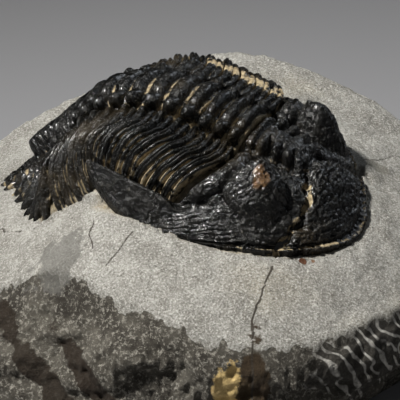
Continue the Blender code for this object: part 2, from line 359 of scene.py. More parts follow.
def tail_shape(u, v):
    """Distance back, t and height of the smooth tail, with what the relief needs."""
    w = 2 * u - 1
    fan = w * math.pi / 2
    share = v**0.85
    reach = TAIL_REACH * (1 - np.abs(w)) ** 1.25 * share
    off_spine = np.abs((u * TAIL_SPINES) % 1 - 0.5) * 2
    run_out = step(0.8, 1.0, v) * np.clip((v - 0.8) / 0.2, 0, 1)
    spine = TAIL_SPINE_LENGTH * (1 - off_spine) * run_out
    side = np.where(w < 0, -1.0, 1.0)
    t = side * np.abs(np.sin(fan)) ** 0.9 * share * TAIL_HALF
    back = 0.2 + reach + pleura_sweep(t) + spine
    rim = TAIL_SPINES / 2 * (1 - np.abs(w))
    t = t + np.sin(fan) * 0.35 * spine
    return back, t, share, rim, off_spine


def tail_relief(back, t, share, rim):
    off = np.abs(t)
    half = AXIS_HALF - 3.6 * np.clip(back / TAIL_AXIS_LENGTH, 0, 1)
    on_axis = 1 - step(0.62, 1.05, off / half)
    end = 1 - step(TAIL_AXIS_LENGTH - 1.2, TAIL_AXIS_LENGTH + 0.5, back)
    along = back - pleura_sweep(t)
    ring_phase = np.sqrt(np.maximum(along, 0) / TAIL_AXIS_LENGTH) * 2.2 + along / TAIL_AXIS_LENGTH * 6.0
    ring = 0.75 * np.abs(np.sin(math.pi * ring_phase)) ** 0.7
    outward = np.clip((off - half) / (13.5 - half), 0, 1) ** 0.8
    phase = rim * outward + along / 2.2 * (1 - outward)
    rib = np.abs(np.sin(math.pi * phase)) ** 0.6
    fine = np.abs(np.sin(2 * math.pi * phase)) ** 0.8
    ribs = 0.85 * rib + 0.55 * fine - 0.75
    fade = step(0.0, 0.12, share)
    axis = on_axis * end
    groove = 0.6 * bump(off / half, 1.1, 0.13) * end
    return (ring * axis + ribs * (1 - axis) * fade) - groove, axis


def tail_body(u, v):
    back, t, share, rim, off_spine = tail_shape(u, v)
    axis = tail_relief(back, t, share, rim)[1]
    blend = step(0, 9, back - pleura_sweep(t))
    h_tail = 2.5 * axis - TAIL_DROP * (np.minimum(np.abs(t), 19) / 17) ** 2
    h_front = np.interp(t, SECTION[:, 0], SECTION[:, 1]) - droop(THORAX_BACK_ARC, t)
    return from_back(THORAX_BACK_ARC - back, t, h_front + (h_tail - h_front) * blend)


def tail_place(u, v, depth):
    back, t, share, rim, off_spine = tail_shape(u, v)
    relief = tail_relief(back, t, share, rim)[0]
    body = tail_body(u, v)
    smooth = world(*body)
    grain = 0.14 * rough(smooth, 1.4, 21, 1) + 0.05 * rough(smooth, 0.4, 61, 1)
    edge = -1.0 * off_spine**2 * step(0.75, 1, v)
    wave = (0.3 * rough(smooth, 3.0, 77, 1) * step(0.05, 0.3, v))[:, None] * FORWARD
    outward = facing(lambda a, b: world(*tail_body(a, b)), u, v, 0.02)
    outer = smooth + outward * ((relief + grain) * step(0, 0.06, v) + edge)[:, None]
    inner = shell(*body, depth + 0.3 - 0.6 * step(0.8, 1, v))
    between_spines = step(0.6, 1, v) * step(-0.4, 0.2, rough(smooth, 1.5, 23, 1))
    dust = np.clip((0.1 - relief) / 0.6 + 0.85 * between_spines, 0, 1)
    return np.where(depth[:, None] > 0, inner, outer) + wave, dust


make_plate("tail_shield.fossil", *TAIL_GRID, tail_place)


# %% [markdown]
# ## The head
# The head shield is the most sculpted plate. The glabella is its raised middle: three pairs of side lobes
# behind, and a swollen front lobe. Two tall eye mounds stand beside it. The cheeks slope to a rim, and
# their back corners are drawn out into broad genal spines. It is one surface, a height over x and t, so
# each feature is added or cut as a hill or a groove.

# %% Outline of the head
HEAD_HALF, HEAD_GAP, HEAD_FRONT, HEAD_DEPTH = 21.2, 0.45, 29.5, 22.2
SPINE_T, SPINE_TIP_X, HEAD_SKEW = 18.9, -10.0, 2.0
HEAD_GRID = (272, 176)


def head_front_edge(t):
    across = np.minimum(np.abs(t - HEAD_SKEW * (1 - (np.abs(t) / HEAD_HALF) ** 3)) / HEAD_HALF, 1)
    return HEAD_FRONT - HEAD_DEPTH * (1 - np.sqrt(1 - across**1.75))


def seam(off):
    """x and z of the first segment's front edge, which the back of the head follows."""
    within = np.minimum(off, PLEURA_HALF)
    arc = THORAX_FRONT_ARC - pleura_sweep(within)
    x, _, z = from_back(arc, within, np.interp(within, SECTION[:, 0], SECTION[:, 1]) - droop(arc, within))
    return x, z


def head_back_edge(t):
    off = np.abs(t)
    edge = seam(off)[0] + HEAD_GAP
    inner, outer = step(SPINE_T - 1.5, SPINE_T, off), 1.7 * np.maximum(0, off - SPINE_T) ** 1.75
    return edge + (SPINE_TIP_X - edge) * inner + outer


# %% [markdown]
# The smooth form comes first: the vault of the cheeks, the glabella, the front lobe and the two eye
# mounds. The genal blades are a plane of their own that takes over behind the cheeks.

# %% Form of the head
EYE_X, EYE_T, EYE_TOP, EYE_LONG = 16.0, 10.4, 15.6, 5.7
EYE_RIDGE = [(15.0, 11.2), (12.6, 13.0), (10.9, 16.0)]
MENDED_BREAK = [(21.2, 2.6), (23.7, 7.0), (23.5, 10.4), (22.9, 14.0), (21.0, 17.6)]


def eye_ring(x, off):
    """0 at the middle of an eye and 1 at the foot of its mound."""
    wide = np.where(off < EYE_T, 3.2, 6.4)
    return np.hypot((x - EYE_X) / EYE_LONG, (off - EYE_T) / wide)


def glabella_half(x):
    """Half the width of the glabella behind its front lobe."""
    return 5.3 - 0.10 * (x - 11)


def lobe_line(off):
    """x of the crease behind the swollen front lobe of the glabella."""
    return 20.6 + 0.40 * np.minimum(off, 9) - 0.32 * np.maximum(0, off - 11)


def head_form(x, t):
    """Height of the head's smooth surface."""
    off = np.abs(t)
    edge = 8.6 - 0.28 * x
    ahead = np.maximum(0, x - 9) / (HEAD_FRONT - 9)
    skewed = np.abs(t - HEAD_SKEW * (1 - (off / HEAD_HALF) ** 3) * step(6, 14, x))
    out = np.minimum(1, np.hypot(ahead, skewed / HEAD_HALF))
    crown = 14.8 - 0.14 * np.maximum(0, x - 12)
    cheek = edge + (crown - edge) * (1 - out**2.8) ** 0.8
    half = glabella_half(x)
    glabella = 1.7 * (1 - step(half - 1.6, half + 0.5, off)) * (1 - step(19, 22, x))
    line = lobe_line(off)
    inside = step(line - 0.1, line + 2.0, x) * (1 - step(3.0, 10.0, off))
    lobe = 1.7 * inside * (1 - step(22.5, 28.5, x))
    ring = eye_ring(x, off)
    eye = np.maximum(0, EYE_TOP - cheek) * np.clip(1 - ring**2.3, 0, 1) ** 0.85
    eye = eye + 1.1 * bump(np.hypot(x - EYE_X - 0.9, off - EYE_T), 0, 1.6)
    z = cheek + glabella + lobe + eye
    seam_x, seam_z = seam(off)
    z = z + (seam_z - 0.5 - 1.5 * step(10.5, 15.5, off) - z) * (1 - step(0.6, 4.2, x - seam_x))
    blade = 12.7 - 0.305 * x - 2.1 * np.maximum(0, off - SPINE_T) - 0.5 * np.maximum(0, SPINE_T - off)
    return z + (blade - z) * step(9, 3, x) * step(PLEURA_HALF - 1.8, PLEURA_HALF + 0.4, off)


# %% [markdown]
# Then come the cuts and ridges: the furrow round the glabella, the slots between its side lobes and a
# knob on each, the ring at the back of the head, the border furrow that runs out towards the spines, and
# a ridge that runs back from each eye. The cheeks are wrinkled along the rim, and the front lobe is
# pitted all over.

# %% Relief of the head
def head_relief(x, t):
    """What is added to the smooth surface, and how much of it is a cut."""
    off = np.abs(t)
    half = glabella_half(x)
    behind_lobe = 1 - step(19.6, 21.2, x)
    on_glabella = 1 - step(half, half + 1.0, off)
    cut = 1.0 * bump(off, half + 0.2, 0.55) * behind_lobe
    for slot, depth in ((15.2, 0.9), (17.2, 0.85), (19.3, 0.8)):
        line = slot + 0.22 * (off - 3.5)
        cut = cut + depth * bump(x, line, 0.36) * step(0.8, 2.2, off) * on_glabella
    cut = cut + 0.9 * bump(x, 13.0, 0.38) * on_glabella
    crease = lobe_line(off) + 0.25 * np.sin(off * 1.9)
    cut = cut + 1.1 * bump(x, crease - 0.25, 0.42) * step(1.0, 3.0, off) * (1 - step(15.5, 18, off))
    from_back_edge = x - head_back_edge(np.minimum(off, PLEURA_HALF))
    border = step(half, half + 1.5, off) * (1 - step(16.8, 18.2, off))
    cut = cut + 0.9 * bump(from_back_edge, 3.2, 0.6) * border
    raised = 0.6 * bump(from_back_edge, 1.3, 1.2) * border
    ring = eye_ring(x, off)
    raised = raised + 0.6 * near_line(x, off, EYE_RIDGE, 1.1) ** 0.7
    cut = cut + 0.35 * bump(ring, 1.0, 0.10) * step(13, 9, off)
    knob = bump(x, 14.1, 0.75) + bump(x, 16.2, 0.75) + bump(x, 18.2, 0.75)
    raised = raised + 0.75 * knob * bump(off, half - 0.9, 1.1)
    return raised - cut, cut


def cheek_lines(x, t, from_rim):
    """Fine wrinkles that run along the rim, broken up so that none goes all the way."""
    flat = np.stack([x, t, from_rim], -1)
    drift = rough(flat, 3.5, 51, 1)
    wave = np.sin(from_rim * 2 * math.pi / 0.85 + 5 * drift)
    return 0.13 * wave * step(-0.5, 0.3, rough(flat, 1.6, 52, 1))


def patch_on_eye(x, t):
    """1 where the outer layer of the right eye has flaked off down to brown rock."""
    return 1 - step(0.7, 1.15, np.hypot((x - 17.9) / 1.3, (t - 12.6) / 1.6) + 0.2 * np.sin(3 * x + 2 * t))


def head_outline(u, v):
    """x and t of a place on the shield, and how long the shield is there."""
    w = 2 * u - 1
    t = HEAD_HALF * (0.45 * w + 0.55 * np.sin(w * math.pi / 2))
    back, front = head_back_edge(t), head_front_edge(t)
    return back + (front - back) * (np.sin(v * math.pi / 2) * 0.45 + v * 0.55), t, front - back


def head_surface(u, v):
    x, t, _ = head_outline(u, v)
    return world(x, t, head_form(x, t))


def head_place(u, v, depth):
    x, t, long = head_outline(u, v)
    off = np.abs(t)
    relief, cut = head_relief(x, t)
    on_blade = step(8, 3, x) * step(16.6, 17.6, off)
    smooth = head_surface(u, v)
    on_lobe = step(0, 1.5, x - lobe_line(off)) * (1 - step(14, 16, off))
    on_eye = 1 - step(0.75, 1.0, eye_ring(x, off))
    from_rim = (1 - v) * long * (1 - 0.45 * step(8, 20, off))
    grain = 0.15 * rough(smooth, 1.2, 11) + (0.14 + 0.08 * on_lobe) * rough(smooth, 0.45, 12, 1)
    pits = np.minimum(0, rough(smooth, 0.75, 13, 1) + 0.05) * (0.3 + 0.4 * on_lobe + 0.3 * on_eye)
    uneven = 0.35 * rough(smooth, 4.5, 14, 1) * (1 - on_blade)
    wrinkles = cheek_lines(x, t, from_rim) * step(0.4, 0.6, v) * (1 - 0.6 * on_lobe) * (1 - on_eye)
    rim = 0.45 * bump(v, 0.985, 0.02) - 0.4 * bump(v, 0.945, 0.018)
    added = relief * (1 - on_blade) + grain + pits + uneven + wrinkles + rim
    outer = smooth + facing(head_surface, u, v, 0.015) * added[:, None]
    inner = world(x, t, head_form(x, t) - 0.6 - SHELL)
    mended = near_line(x, t, MENDED_BREAK, 0.6)
    mended = mended * step(-0.7, 0.1, rough(smooth, 1.1, 16, 1))
    crumbs = 0.45 * step(0.15, 0.5, rough(smooth, 0.7, 15, 1)) * step(0.85, 0.97, v)
    pale_rim = 0.6 * bump(v, 0.97, 0.012) * step(14, 21, x)
    settled = np.clip(0.30 * cut**2 + 1.3 * mended + crumbs + pale_rim, 0, 1)
    where = np.where(depth[:, None] > 0, inner, outer)
    return where, settled * (1 - on_blade), patch_on_eye(x, t)


make_plate("head_shield.fossil", *HEAD_GRID, head_place)


# %% [markdown]
# ## Bedding the fossil in the stone
# A preparator leaves the stone standing under the animal and cuts a shallow moat around it. The stone's
# top is therefore a height over the ground: a low dome that climbs or dips to meet the edge of the shell.
# Rays cast down on the finished plates tell how high it may come under them, so it shows in the seams and
# nowhere else.

# %% The dome and where it meets the shell
DOME_TOP, DOME_X, DOME_Y = 13.0, 4.0, 22.0
DOME_FALL_X, DOME_FALL_FRONT, DOME_FALL_BACK = 0.0092, 0.0052, 0.0040
MIDDLE = np.array([0.37, 1.52])
SHOULDER = [
    (49, 8), (46, -10), (34, -24), (17, -37.5), (-2, -36), (-22, -22), (-37, -12), (-47, 2),
    (-45, 24), (-33, 38), (-10, 43), (15, 40), (38, 28),
]
FOOT = [
    (44, 7), (40, -9), (29, -23), (15, -36), (-4, -39), (-24, -30), (-38, -20), (-45, -1),
    (-42, 20), (-30, 34), (-9, 39), (14, 37), (35, 25),
]
CONTACT_REACH = 6.0


def contact_points():
    """Places on the edge of the animal, where the rock comes up to it."""
    head = head_place(np.linspace(0.04, 0.96, 15), np.ones(15), np.zeros(15))[0]
    tail = tail_place(np.linspace(0.08, 0.92, 9), np.ones(9), np.zeros(9))[0]
    rows = np.linspace(0.1, 0.9, 4)
    sides = [head_place(np.full(4, float(end)), rows, np.zeros(4))[0] for end in (0, 1)]
    for front, back in list(zip(EDGES, EDGES[1:]))[2::2]:
        t, h = section_at(np.array([-1.0, 1.0]))
        arc = np.full(2, (front + back) / 2) - pleura_sweep(t)
        sides.append(world(*from_back(arc, t, h - droop(arc, t))))
    return np.vstack([head, tail, *sides])


def bare_dome(x, y):
    fall = np.where(y < DOME_Y, DOME_FALL_FRONT, DOME_FALL_BACK)
    return PLACE[2] + DOME_TOP - DOME_FALL_X * (x - DOME_X) ** 2 - fall * (y - DOME_Y) ** 2


CONTACTS = contact_points()
CONTACTS[:, :2] += MIDDLE


def dome(x, y):
    """The low dome, drawn up or down to the animal's edge near it."""
    cx, cy, cz = CONTACTS.T
    weight = np.exp(-((x[:, None] - cx) ** 2 + (y[:, None] - cy) ** 2) / (2 * CONTACT_REACH**2))
    need = cz - 0.3 - bare_dome(cx, cy)
    return bare_dome(x, y) + (weight @ need) / (weight.sum(1) + 0.25)


def outline(points):
    """A closed outline in plan as bearings and radii."""
    closed = smooth_curve([*points, points[0]], 8)
    bearings = np.unwrap(np.arctan2(closed[:, 1], closed[:, 0]))
    turn = 1 if bearings[-1] > bearings[0] else -1
    return bearings[::turn], np.hypot(*closed.T)[::turn]


# %% [markdown]
# A few cracks run over the top. Each is drawn as a short run of points. How close a place is to the run
# is written on the mesh, and the material darkens it there.

# %% Lines on the stone
MAIN_CRACK = [(12.3, -19.0), (11.6, -23.0), (11.9, -26.0), (10.2, -30.5), (8.6, -36.0), (8.4, -41.0)]
FINE_CRACKS = [
    [(-9.4, -19.5), (-11.5, -22.5), (-14.3, -25.5)],
    [(-16.4, -16.5), (-16.9, -19.5), (-16.3, -22.0)],
    [(27.5, 5.0), (30.5, 7.5), (33.5, 12.0), (40.0, 15.0)],
    [(-34.0, -1.0), (-28.0, -5.5), (-23.0, -6.0)],
]


# %% [markdown]
# ## The stone
# The block starts as a square grid that is rounded to the outline of the prepared top. A grid gives even
# cells all over, where a disc would crowd them in the middle. Its height is the dome, worked a little by
# noise, and goes down under the plates. Where the top ends its edge is chipped, so the line between both
# is ragged.

# %% Top of the stone
STONE_GRID = (264, 232)
UNDER_X, UNDER_Y = 42, 34  # no plate lies further out than this
FEELER_NEAR, FEELER_FAR = 0.6, 1.9
SETTLE, EDGE_SETTLE, LOOSE_SETTLE, BANK = 0.95, 0.55, 0.25, 1.2


def fossil_cover():
    """One search tree of every plate, to cast rays on."""
    bm = bmesh.new()
    for piece in pieces.values():
        bm.from_mesh(piece.data)
    tree = BVHTree.FromBMesh(bm)
    bm.free()
    return tree


def bed(x, y, level, cover):
    """Lowers or raises the top where plates lie over it; also tells how close they are.

    Rays are cast at the place itself and at two rings of six round it. Plates on both sides of a place mean
    that it lies in a gap between them, and the rock is banked up there to fill it.
    """
    height, close = level.copy(), np.zeros(len(x))
    turns = [k * math.pi / 3 for k in range(6)]
    feelers = [(r * math.cos(turn), r * math.sin(turn)) for r in (FEELER_NEAR, FEELER_FAR) for turn in turns]
    feelers = [(0, 0), *feelers]
    down = Vector((0, 0, -1))
    for i in np.nonzero((np.abs(x) < UNDER_X) & (np.abs(y) < UNDER_Y))[0]:
        found = []
        for dx, dy in feelers:
            hit = cover.ray_cast(Vector(((x[i] + dx) * MM, (y[i] + dy) * MM, 0.1)), down)[0]
            found.append(hit.z / MM if hit else None)
        under = [z for z in found if z is not None]
        close[i] = len(under) / len(feelers)
        between = any(found[k] is not None and found[k + 3] is not None for k in (7, 8, 9))
        if between and close[i] > 0.9:
            height[i] = min(under) - SETTLE
        elif between:
            height[i] = min(min(under) - EDGE_SETTLE, level[i] + BANK)
        elif under:
            height[i] = min(level[i] - 0.5 * close[i], min(under) - LOOSE_SETTLE)
    return height, close


def stone_top(flat):
    """World millimetres of the grid's points, and their share of the way out to the edge."""
    a, b = 2 * flat[:, 0], 2 * flat[:, 1]
    a, b = a * (0.74 + 0.26 * a**2), b * (0.74 + 0.26 * b**2)
    px, py = a * np.sqrt(1 - b * b / 2), b * np.sqrt(1 - a * a / 2)
    bearing, share = np.arctan2(py, px), np.hypot(px, py)
    reach = np.interp(bearing, *outline(SHOULDER), period=2 * math.pi) * share
    x, y = reach * np.cos(bearing), reach * np.sin(bearing)
    level = dome(x, y)
    return x - MIDDLE[0], y - MIDDLE[1], level, share


bm = bmesh.new()
bmesh.ops.create_grid(bm, x_segments=STONE_GRID[0], y_segments=STONE_GRID[1], size=0.5)
flat = np.array([vert.co[:] for vert in bm.verts])
x, y, level, share = stone_top(flat)
level, close = bed(x, y, level, fossil_cover())
spot = np.stack([x, y, level], -1)
apart = 1 - np.clip(close * 1.5, 0, 1)
worked = 0.40 * rough(spot, 9.0, 31) + 0.22 * rough(spot, 2.4, 32) + 0.12 * rough(spot, 0.9, 33, 1)
jag = 0.35 * rough(spot, 1.6, 34)
main_crack = near_line(x + jag, y, MAIN_CRACK, 1.5) * apart
fine_crack = 0.97 * apart * np.max([near_line(x + jag, y + jag, line, 1.5) for line in FINE_CRACKS], axis=0)
level = level + worked * apart
level = level - 1.2 * step(0.965, 1.0, share) ** 2
chipped = step(0.975, 0.99, share + 0.022 * rough(spot, 2.6, 35) + 0.008 * rough(spot, 0.8, 36, 1))
print("top of the stone:", round(float(level.min()), 1), "to", round(float(level.max()), 1), "mm high")

# %% [markdown]
# The flanks are left as the hammer and chisel left them: scooped and ridged. Their colour is darker than the
# cleaned top, partly as painted shade.
# The border of the top is extruded down in small steps, and each new point is set between the top's
# outline and the foot's and pushed in or out by noise. One flat face closes the base.

# %% Flanks and base
FLANK_LEVELS = 26
layers = {name: bm.verts.layers.float.new(name) for name in ("furrow", "broken", "crack")}
cracks = np.maximum(main_crack, fine_crack)
for vert, px, py, pz, near, crack, chip in zip(bm.verts, x, y, level - 0.5 * chipped, close, cracks, chipped):
    vert.co = (px * MM, py * MM, pz * MM)
    vert[layers["broken"]] = chip
    vert[layers["furrow"]] = near
    vert[layers["crack"]] = crack

rim = [edge for edge in bm.edges if edge.is_boundary]
rim_verts = {vert for edge in rim for vert in edge.verts}
start = {vert: vert.co.copy() for vert in rim_verts}
outward, foot = outline(SHOULDER), outline(FOOT)
current, origin = rim, start
for k in range(1, FLANK_LEVELS + 1):
    made = bmesh.ops.extrude_edge_only(bm, edges=current)
    current = [edge for edge in fresh(made, bmesh.types.BMEdge) if edge.is_boundary]
    above = {}
    for vert in fresh(made, bmesh.types.BMVert):
        upper = next(edge.other_vert(vert) for edge in vert.link_edges if edge.other_vert(vert) in origin)
        above[vert] = origin[upper]
    down = k / FLANK_LEVELS
    for vert, top in above.items():
        tx, ty = top.x / MM + MIDDLE[0], top.y / MM + MIDDLE[1]
        turn = math.atan2(ty, tx)
        wide = float(np.interp(turn, *outward, period=2 * math.pi))
        base = float(np.interp(turn, *foot, period=2 * math.pi))
        z = top.z / MM * (1 - down)
        at = Vector((tx, ty, z))
        scoop = noise.fractal(at / 13 + Vector((3, 1, 4)), 0.7, 2.1, 3)
        ridge = abs(noise.noise(Vector((tx / 7, ty / 7, z / 3.2)))) + 0.5 * abs(noise.noise(at / 2.2))
        chisel = noise.fractal(at / 1.3, 0.8, 2.0, 2)
        swing = math.sin(math.pi * down) ** 0.6
        reach = wide + (base - wide) * down + swing * (1.3 + 2.6 * scoop - 1.9 * ridge + 0.45 * chisel)
        flank_x, flank_y = reach * math.cos(turn) - MIDDLE[0], reach * math.sin(turn) - MIDDLE[1]
        vert.co = (flank_x * MM, flank_y * MM, z * MM)
        vert[layers["broken"]] = 1.0
    origin = above
bmesh.ops.contextual_create(bm, geom=current)
stone = finish_mesh(bm, "matrix_stone.rock")
print("stone:", len(stone.data.polygons), "faces")

# %% [markdown]
# ## Materials
# Both finishes are mixed from noise at several sizes, because stone has detail at every size. They read
# object coordinates, which here are real metres, and the furrow, worn, broken and crack values that the
# shapes were given. A picture wrapped on the mesh would stretch on the steep ribs; noise in space does
# not.

# %% Node helpers
def new_material(name):
    made = bpy.data.materials.new(name)
    made.use_nodes = True
    nodes, links = made.node_tree.nodes, made.node_tree.links
    return made, nodes, links, nodes["Principled BSDF"]


def coordinates(nodes):
    return nodes.new("ShaderNodeTexCoord").outputs["Object"]


def grain_noise(nodes, links, where, size_mm, detail=4.0, roughness=0.6):
    """Noise whose lumps are about size_mm across."""
    texture = nodes.new("ShaderNodeTexNoise")
    texture.inputs["Scale"].default_value = 1 / (size_mm * MM * 2)
    texture.inputs["Detail"].default_value = detail
    texture.inputs["Roughness"].default_value = roughness
    links.new(where, texture.inputs["Vector"])
    return texture.outputs["Fac"]


def remap(nodes, links, value, low, high, to_low=0.0, to_high=1.0):
    made = nodes.new("ShaderNodeMapRange")
    made.interpolation_type = "SMOOTHSTEP"
    for socket, number in (("From Min", low), ("From Max", high), ("To Min", to_low), ("To Max", to_high)):
        made.inputs[socket].default_value = number
    links.new(value, made.inputs["Value"])
    return made.outputs["Result"]


def combine(nodes, links, operation, first, second):
    made = nodes.new("ShaderNodeMath")
    made.operation = operation
    made.use_clamp = True
    for socket, value in zip(made.inputs, (first, second)):
        if isinstance(value, (int, float)):
            socket.default_value = value
        else:
            links.new(value, socket)
    return made.outputs["Value"]


def paint(nodes, links, amount, below, above):
    """Mixes two colours, each a tuple or a socket, by an amount that is a socket."""
    made = nodes.new("ShaderNodeMix")
    made.data_type = "RGBA"
    links.new(amount, made.inputs[0])
    for socket, colour in ((made.inputs[6], below), (made.inputs[7], above)):
        if isinstance(colour, tuple):
            socket.default_value = (*colour, 1)
        else:
            links.new(colour, socket)
    return made.outputs[2]


def carve(nodes, links, layers_of_height, shader):
    """Chains bump nodes; each layer is (height socket, depth in mm, strength)."""
    normal = None
    for height, depth_mm, strength in layers_of_height:
        made = nodes.new("ShaderNodeBump")
        made.inputs["Strength"].default_value = strength
        made.inputs["Distance"].default_value = depth_mm * MM
        links.new(height, made.inputs["Height"])
        if normal:
            links.new(normal, made.inputs["Normal"])
        normal = made.outputs["Normal"]
    links.new(normal, shader.inputs["Normal"])


def read_value(nodes, name):
    """A value that was written on the mesh's points."""
    made = nodes.new("ShaderNodeAttribute")
    made.attribute_name = name
    return made.outputs["Fac"]


# %% [markdown]
# ### Fossil shell
# Black calcite with a waxy shine. Under the preparator's air pen it came out wrinkled and pricked, so the
# light breaks into many small sparks. Tan limestone dust stays in the furrows, thinly and in patches, and
# on the right eye the outer layer has flaked off down to brown rock.

# %% The shell's finish
BLACK, GREY_BLACK, BROWN_BLACK = (0.001, 0.001, 0.0009), (0.006, 0.0057, 0.0047), (0.034, 0.025, 0.013)
DUST_DARK, DUST_PALE, SPECK = (0.15, 0.115, 0.065), (0.34, 0.275, 0.17), (0.22, 0.20, 0.15)
FLAKED_DARK, FLAKED_PALE = (0.030, 0.016, 0.007), (0.115, 0.063, 0.026)


def shell_material():
    made, nodes, links, shader = new_material("fossil_shell")
    where = coordinates(nodes)
    broad = grain_noise(nodes, links, where, 6.0, 3.0)
    middle = grain_noise(nodes, links, where, 1.1, 5.0, 0.65)
    fine = grain_noise(nodes, links, where, 0.32, 4.0, 0.7)
    colour = paint(nodes, links, remap(nodes, links, middle, 0.35, 0.7), BLACK, GREY_BLACK)
    worn = remap(nodes, links, broad, 0.52, 0.75)
    colour = paint(nodes, links, combine(nodes, links, "MULTIPLY", worn, 0.55), colour, BROWN_BLACK)
    patches = remap(nodes, links, middle, 0.34, 0.62, 0.15, 1.6)
    settled = combine(nodes, links, "MULTIPLY", read_value(nodes, "furrow"), patches)
    dust = remap(nodes, links, settled, 0.35, 1.0)
    tan = paint(nodes, links, remap(nodes, links, fine, 0.35, 0.65), DUST_DARK, DUST_PALE)
    colour = paint(nodes, links, dust, colour, tan)
    specks = combine(nodes, links, "MULTIPLY", remap(nodes, links, fine, 0.60, 0.74), 0.28)
    colour = paint(nodes, links, specks, colour, SPECK)
    flaked = paint(nodes, links, remap(nodes, links, fine, 0.35, 0.65), FLAKED_DARK, FLAKED_PALE)
    colour = paint(nodes, links, read_value(nodes, "worn"), colour, flaked)
    links.new(colour, shader.inputs["Base Color"])
    shine = remap(nodes, links, middle, 0.3, 0.7, 0.17, 0.36)
    dull = combine(nodes, links, "MULTIPLY", dust, 0.9)
    links.new(combine(nodes, links, "MAXIMUM", shine, dull), shader.inputs["Roughness"])
    shader.inputs["Specular IOR Level"].default_value = 0.26
    shader.inputs["Coat Weight"].default_value = 0.22
    shader.inputs["Coat Roughness"].default_value = 0.16
    carve(nodes, links, [(remap(nodes, links, middle, 0.3, 0.7), 0.20, 1.0), (fine, 0.26, 1.0)], shader)
    return made


# %% [markdown]
# ### Limestone
# The cleaned top is chalky, a mix of pale and dark grains as fine as salt and pepper. Where the block was
# broken it shows its inside: grey-brown and rough, with pale bruises, and much darker than the top; part of
# that darkness is painted shade on the flanks. Tan rock that was never cleaned lies under the plates. Each
# of these is a small recipe of its own that gives one colour.

# %% Cleaned, broken and hidden rock
CHALK_GREY, CHALK_PALE, CHALK_WARM = (0.25, 0.24, 0.212), (0.40, 0.39, 0.355), (0.36, 0.31, 0.21)
SALT, PEPPER = (0.66, 0.645, 0.60), (0.11, 0.10, 0.08)
# the broken flank's colours, darkened partly as painted shade
BROKEN_SHADED_DARK, BROKEN_SHADED_PALE, BRUISE = (0.035, 0.030, 0.023), (0.115, 0.105, 0.085), (0.36, 0.34, 0.29)
HIDDEN_DARK, HIDDEN_PALE = (0.25, 0.19, 0.10), (0.45, 0.39, 0.27)


def cleaned_rock(nodes, links, broad, patch, grit, powder):
    rock = paint(nodes, links, remap(nodes, links, patch, 0.35, 0.68), CHALK_GREY, CHALK_PALE)
    warm = combine(nodes, links, "MULTIPLY", remap(nodes, links, broad, 0.55, 0.72), 0.35)
    rock = paint(nodes, links, warm, rock, CHALK_WARM)
    salt = combine(nodes, links, "MULTIPLY", remap(nodes, links, powder, 0.50, 0.66), 0.8)
    rock = paint(nodes, links, salt, rock, SALT)
    grit_dots, powder_dots = remap(nodes, links, grit, 0.54, 0.66), remap(nodes, links, powder, 0.46, 0.34)
    pepper = combine(nodes, links, "MAXIMUM", grit_dots, powder_dots)
    return paint(nodes, links, combine(nodes, links, "MULTIPLY", pepper, 0.72), rock, PEPPER)


# The broken flank's dark grey-brown is partly painted shade.
def broken_rock_and_shade(nodes, links, patch, grit):
    rock = paint(nodes, links, remap(nodes, links, patch, 0.35, 0.7), BROKEN_SHADED_DARK, BROKEN_SHADED_PALE)
    bruised = combine(nodes, links, "MULTIPLY", remap(nodes, links, grit, 0.50, 0.62), 0.75)
    return paint(nodes, links, bruised, rock, BRUISE)


def hidden_rock(nodes, links, grit):
    return paint(nodes, links, remap(nodes, links, grit, 0.4, 0.6), HIDDEN_DARK, HIDDEN_PALE)


# %% [markdown]
# Stains and painted shadows are round patches with a ragged edge. Each has a place, three radii in
# millimetres, a turn about the y axis, a colour and a strength. The dark brown one at the foot of the front
# flank is painted shade in a deep hole, and the two long dark brown bands that slant down the broken face
# on the left are painted shadow under the overhanging edge. The others are stains.

# %% Stains and painted shadows
STAINS_AND_PAINTED_SHADOWS = (
    ((5.0, -42.0, 5.0), (3.2, 8.0, 10.0), 0.0, (0.80, 0.58, 0.25), 0.95),
    # painted shade: the dark brown shade in a deep hole at the foot of the front flank
    ((9.0, -41.5, 9.0), (2.4, 7.0, 13.0), 0.0, (0.045, 0.029, 0.014), 0.97),
    ((16.8, -23.6, 23.0), (0.6, 0.6, 5.0), 0.0, (0.085, 0.026, 0.005), 0.95),
    ((18.4, -23.0, 23.0), (0.35, 0.45, 5.0), 0.0, (0.16, 0.065, 0.015), 0.8),
    ((-22.6, -20.3, 24.0), (5.3, 3.9, 9.0), 0.0, (0.15, 0.145, 0.13), 0.72),
    ((29.5, 5.5, 26.0), (2.4, 1.7, 6.0), 0.0, (0.16, 0.15, 0.12), 0.6),
    # painted shadow: two long dark bands of shade under the overhanging edge, on the left of the broken face
    ((-25.0, -32.0, 7.0), (15.0, 16.0, 2.3), 0.75, (0.020, 0.013, 0.007), 0.9),
    ((-17.0, -36.0, 8.0), (14.0, 16.0, 2.1), 0.80, (0.022, 0.014, 0.008), 0.9),
)


def spot_at(nodes, links, where, centre, radius, wobble, turn=0.0):
    """1 inside a soft-edged patch round a point of the stone, in millimetres."""
    mapping = nodes.new("ShaderNodeMapping")
    mapping.vector_type = "TEXTURE"
    mapping.inputs["Location"].default_value = tuple(c * MM for c in centre)
    mapping.inputs["Rotation"].default_value = (0, turn, 0)
    mapping.inputs["Scale"].default_value = tuple(r * MM for r in radius)
    links.new(where, mapping.inputs["Vector"])
    length = nodes.new("ShaderNodeVectorMath")
    length.operation = "LENGTH"
    links.new(mapping.outputs["Vector"], length.inputs[0])
    ragged = nodes.new("ShaderNodeMath")
    ragged.operation = "ADD"
    links.new(length.outputs["Value"], ragged.inputs[0])
    links.new(remap(nodes, links, wobble, 0.25, 0.75, -0.45, 0.45), ragged.inputs[1])
    return remap(nodes, links, ragged.outputs["Value"], 1.0, 0.82)


def stained_and_shadowed(nodes, links, where, wobble, colour):
    for centre, radius, turn, tint, strength in STAINS_AND_PAINTED_SHADOWS:
        mask = spot_at(nodes, links, where, centre, radius, wobble, turn)
        colour = paint(nodes, links, combine(nodes, links, "MULTIPLY", mask, strength), colour, tint)
    return colour
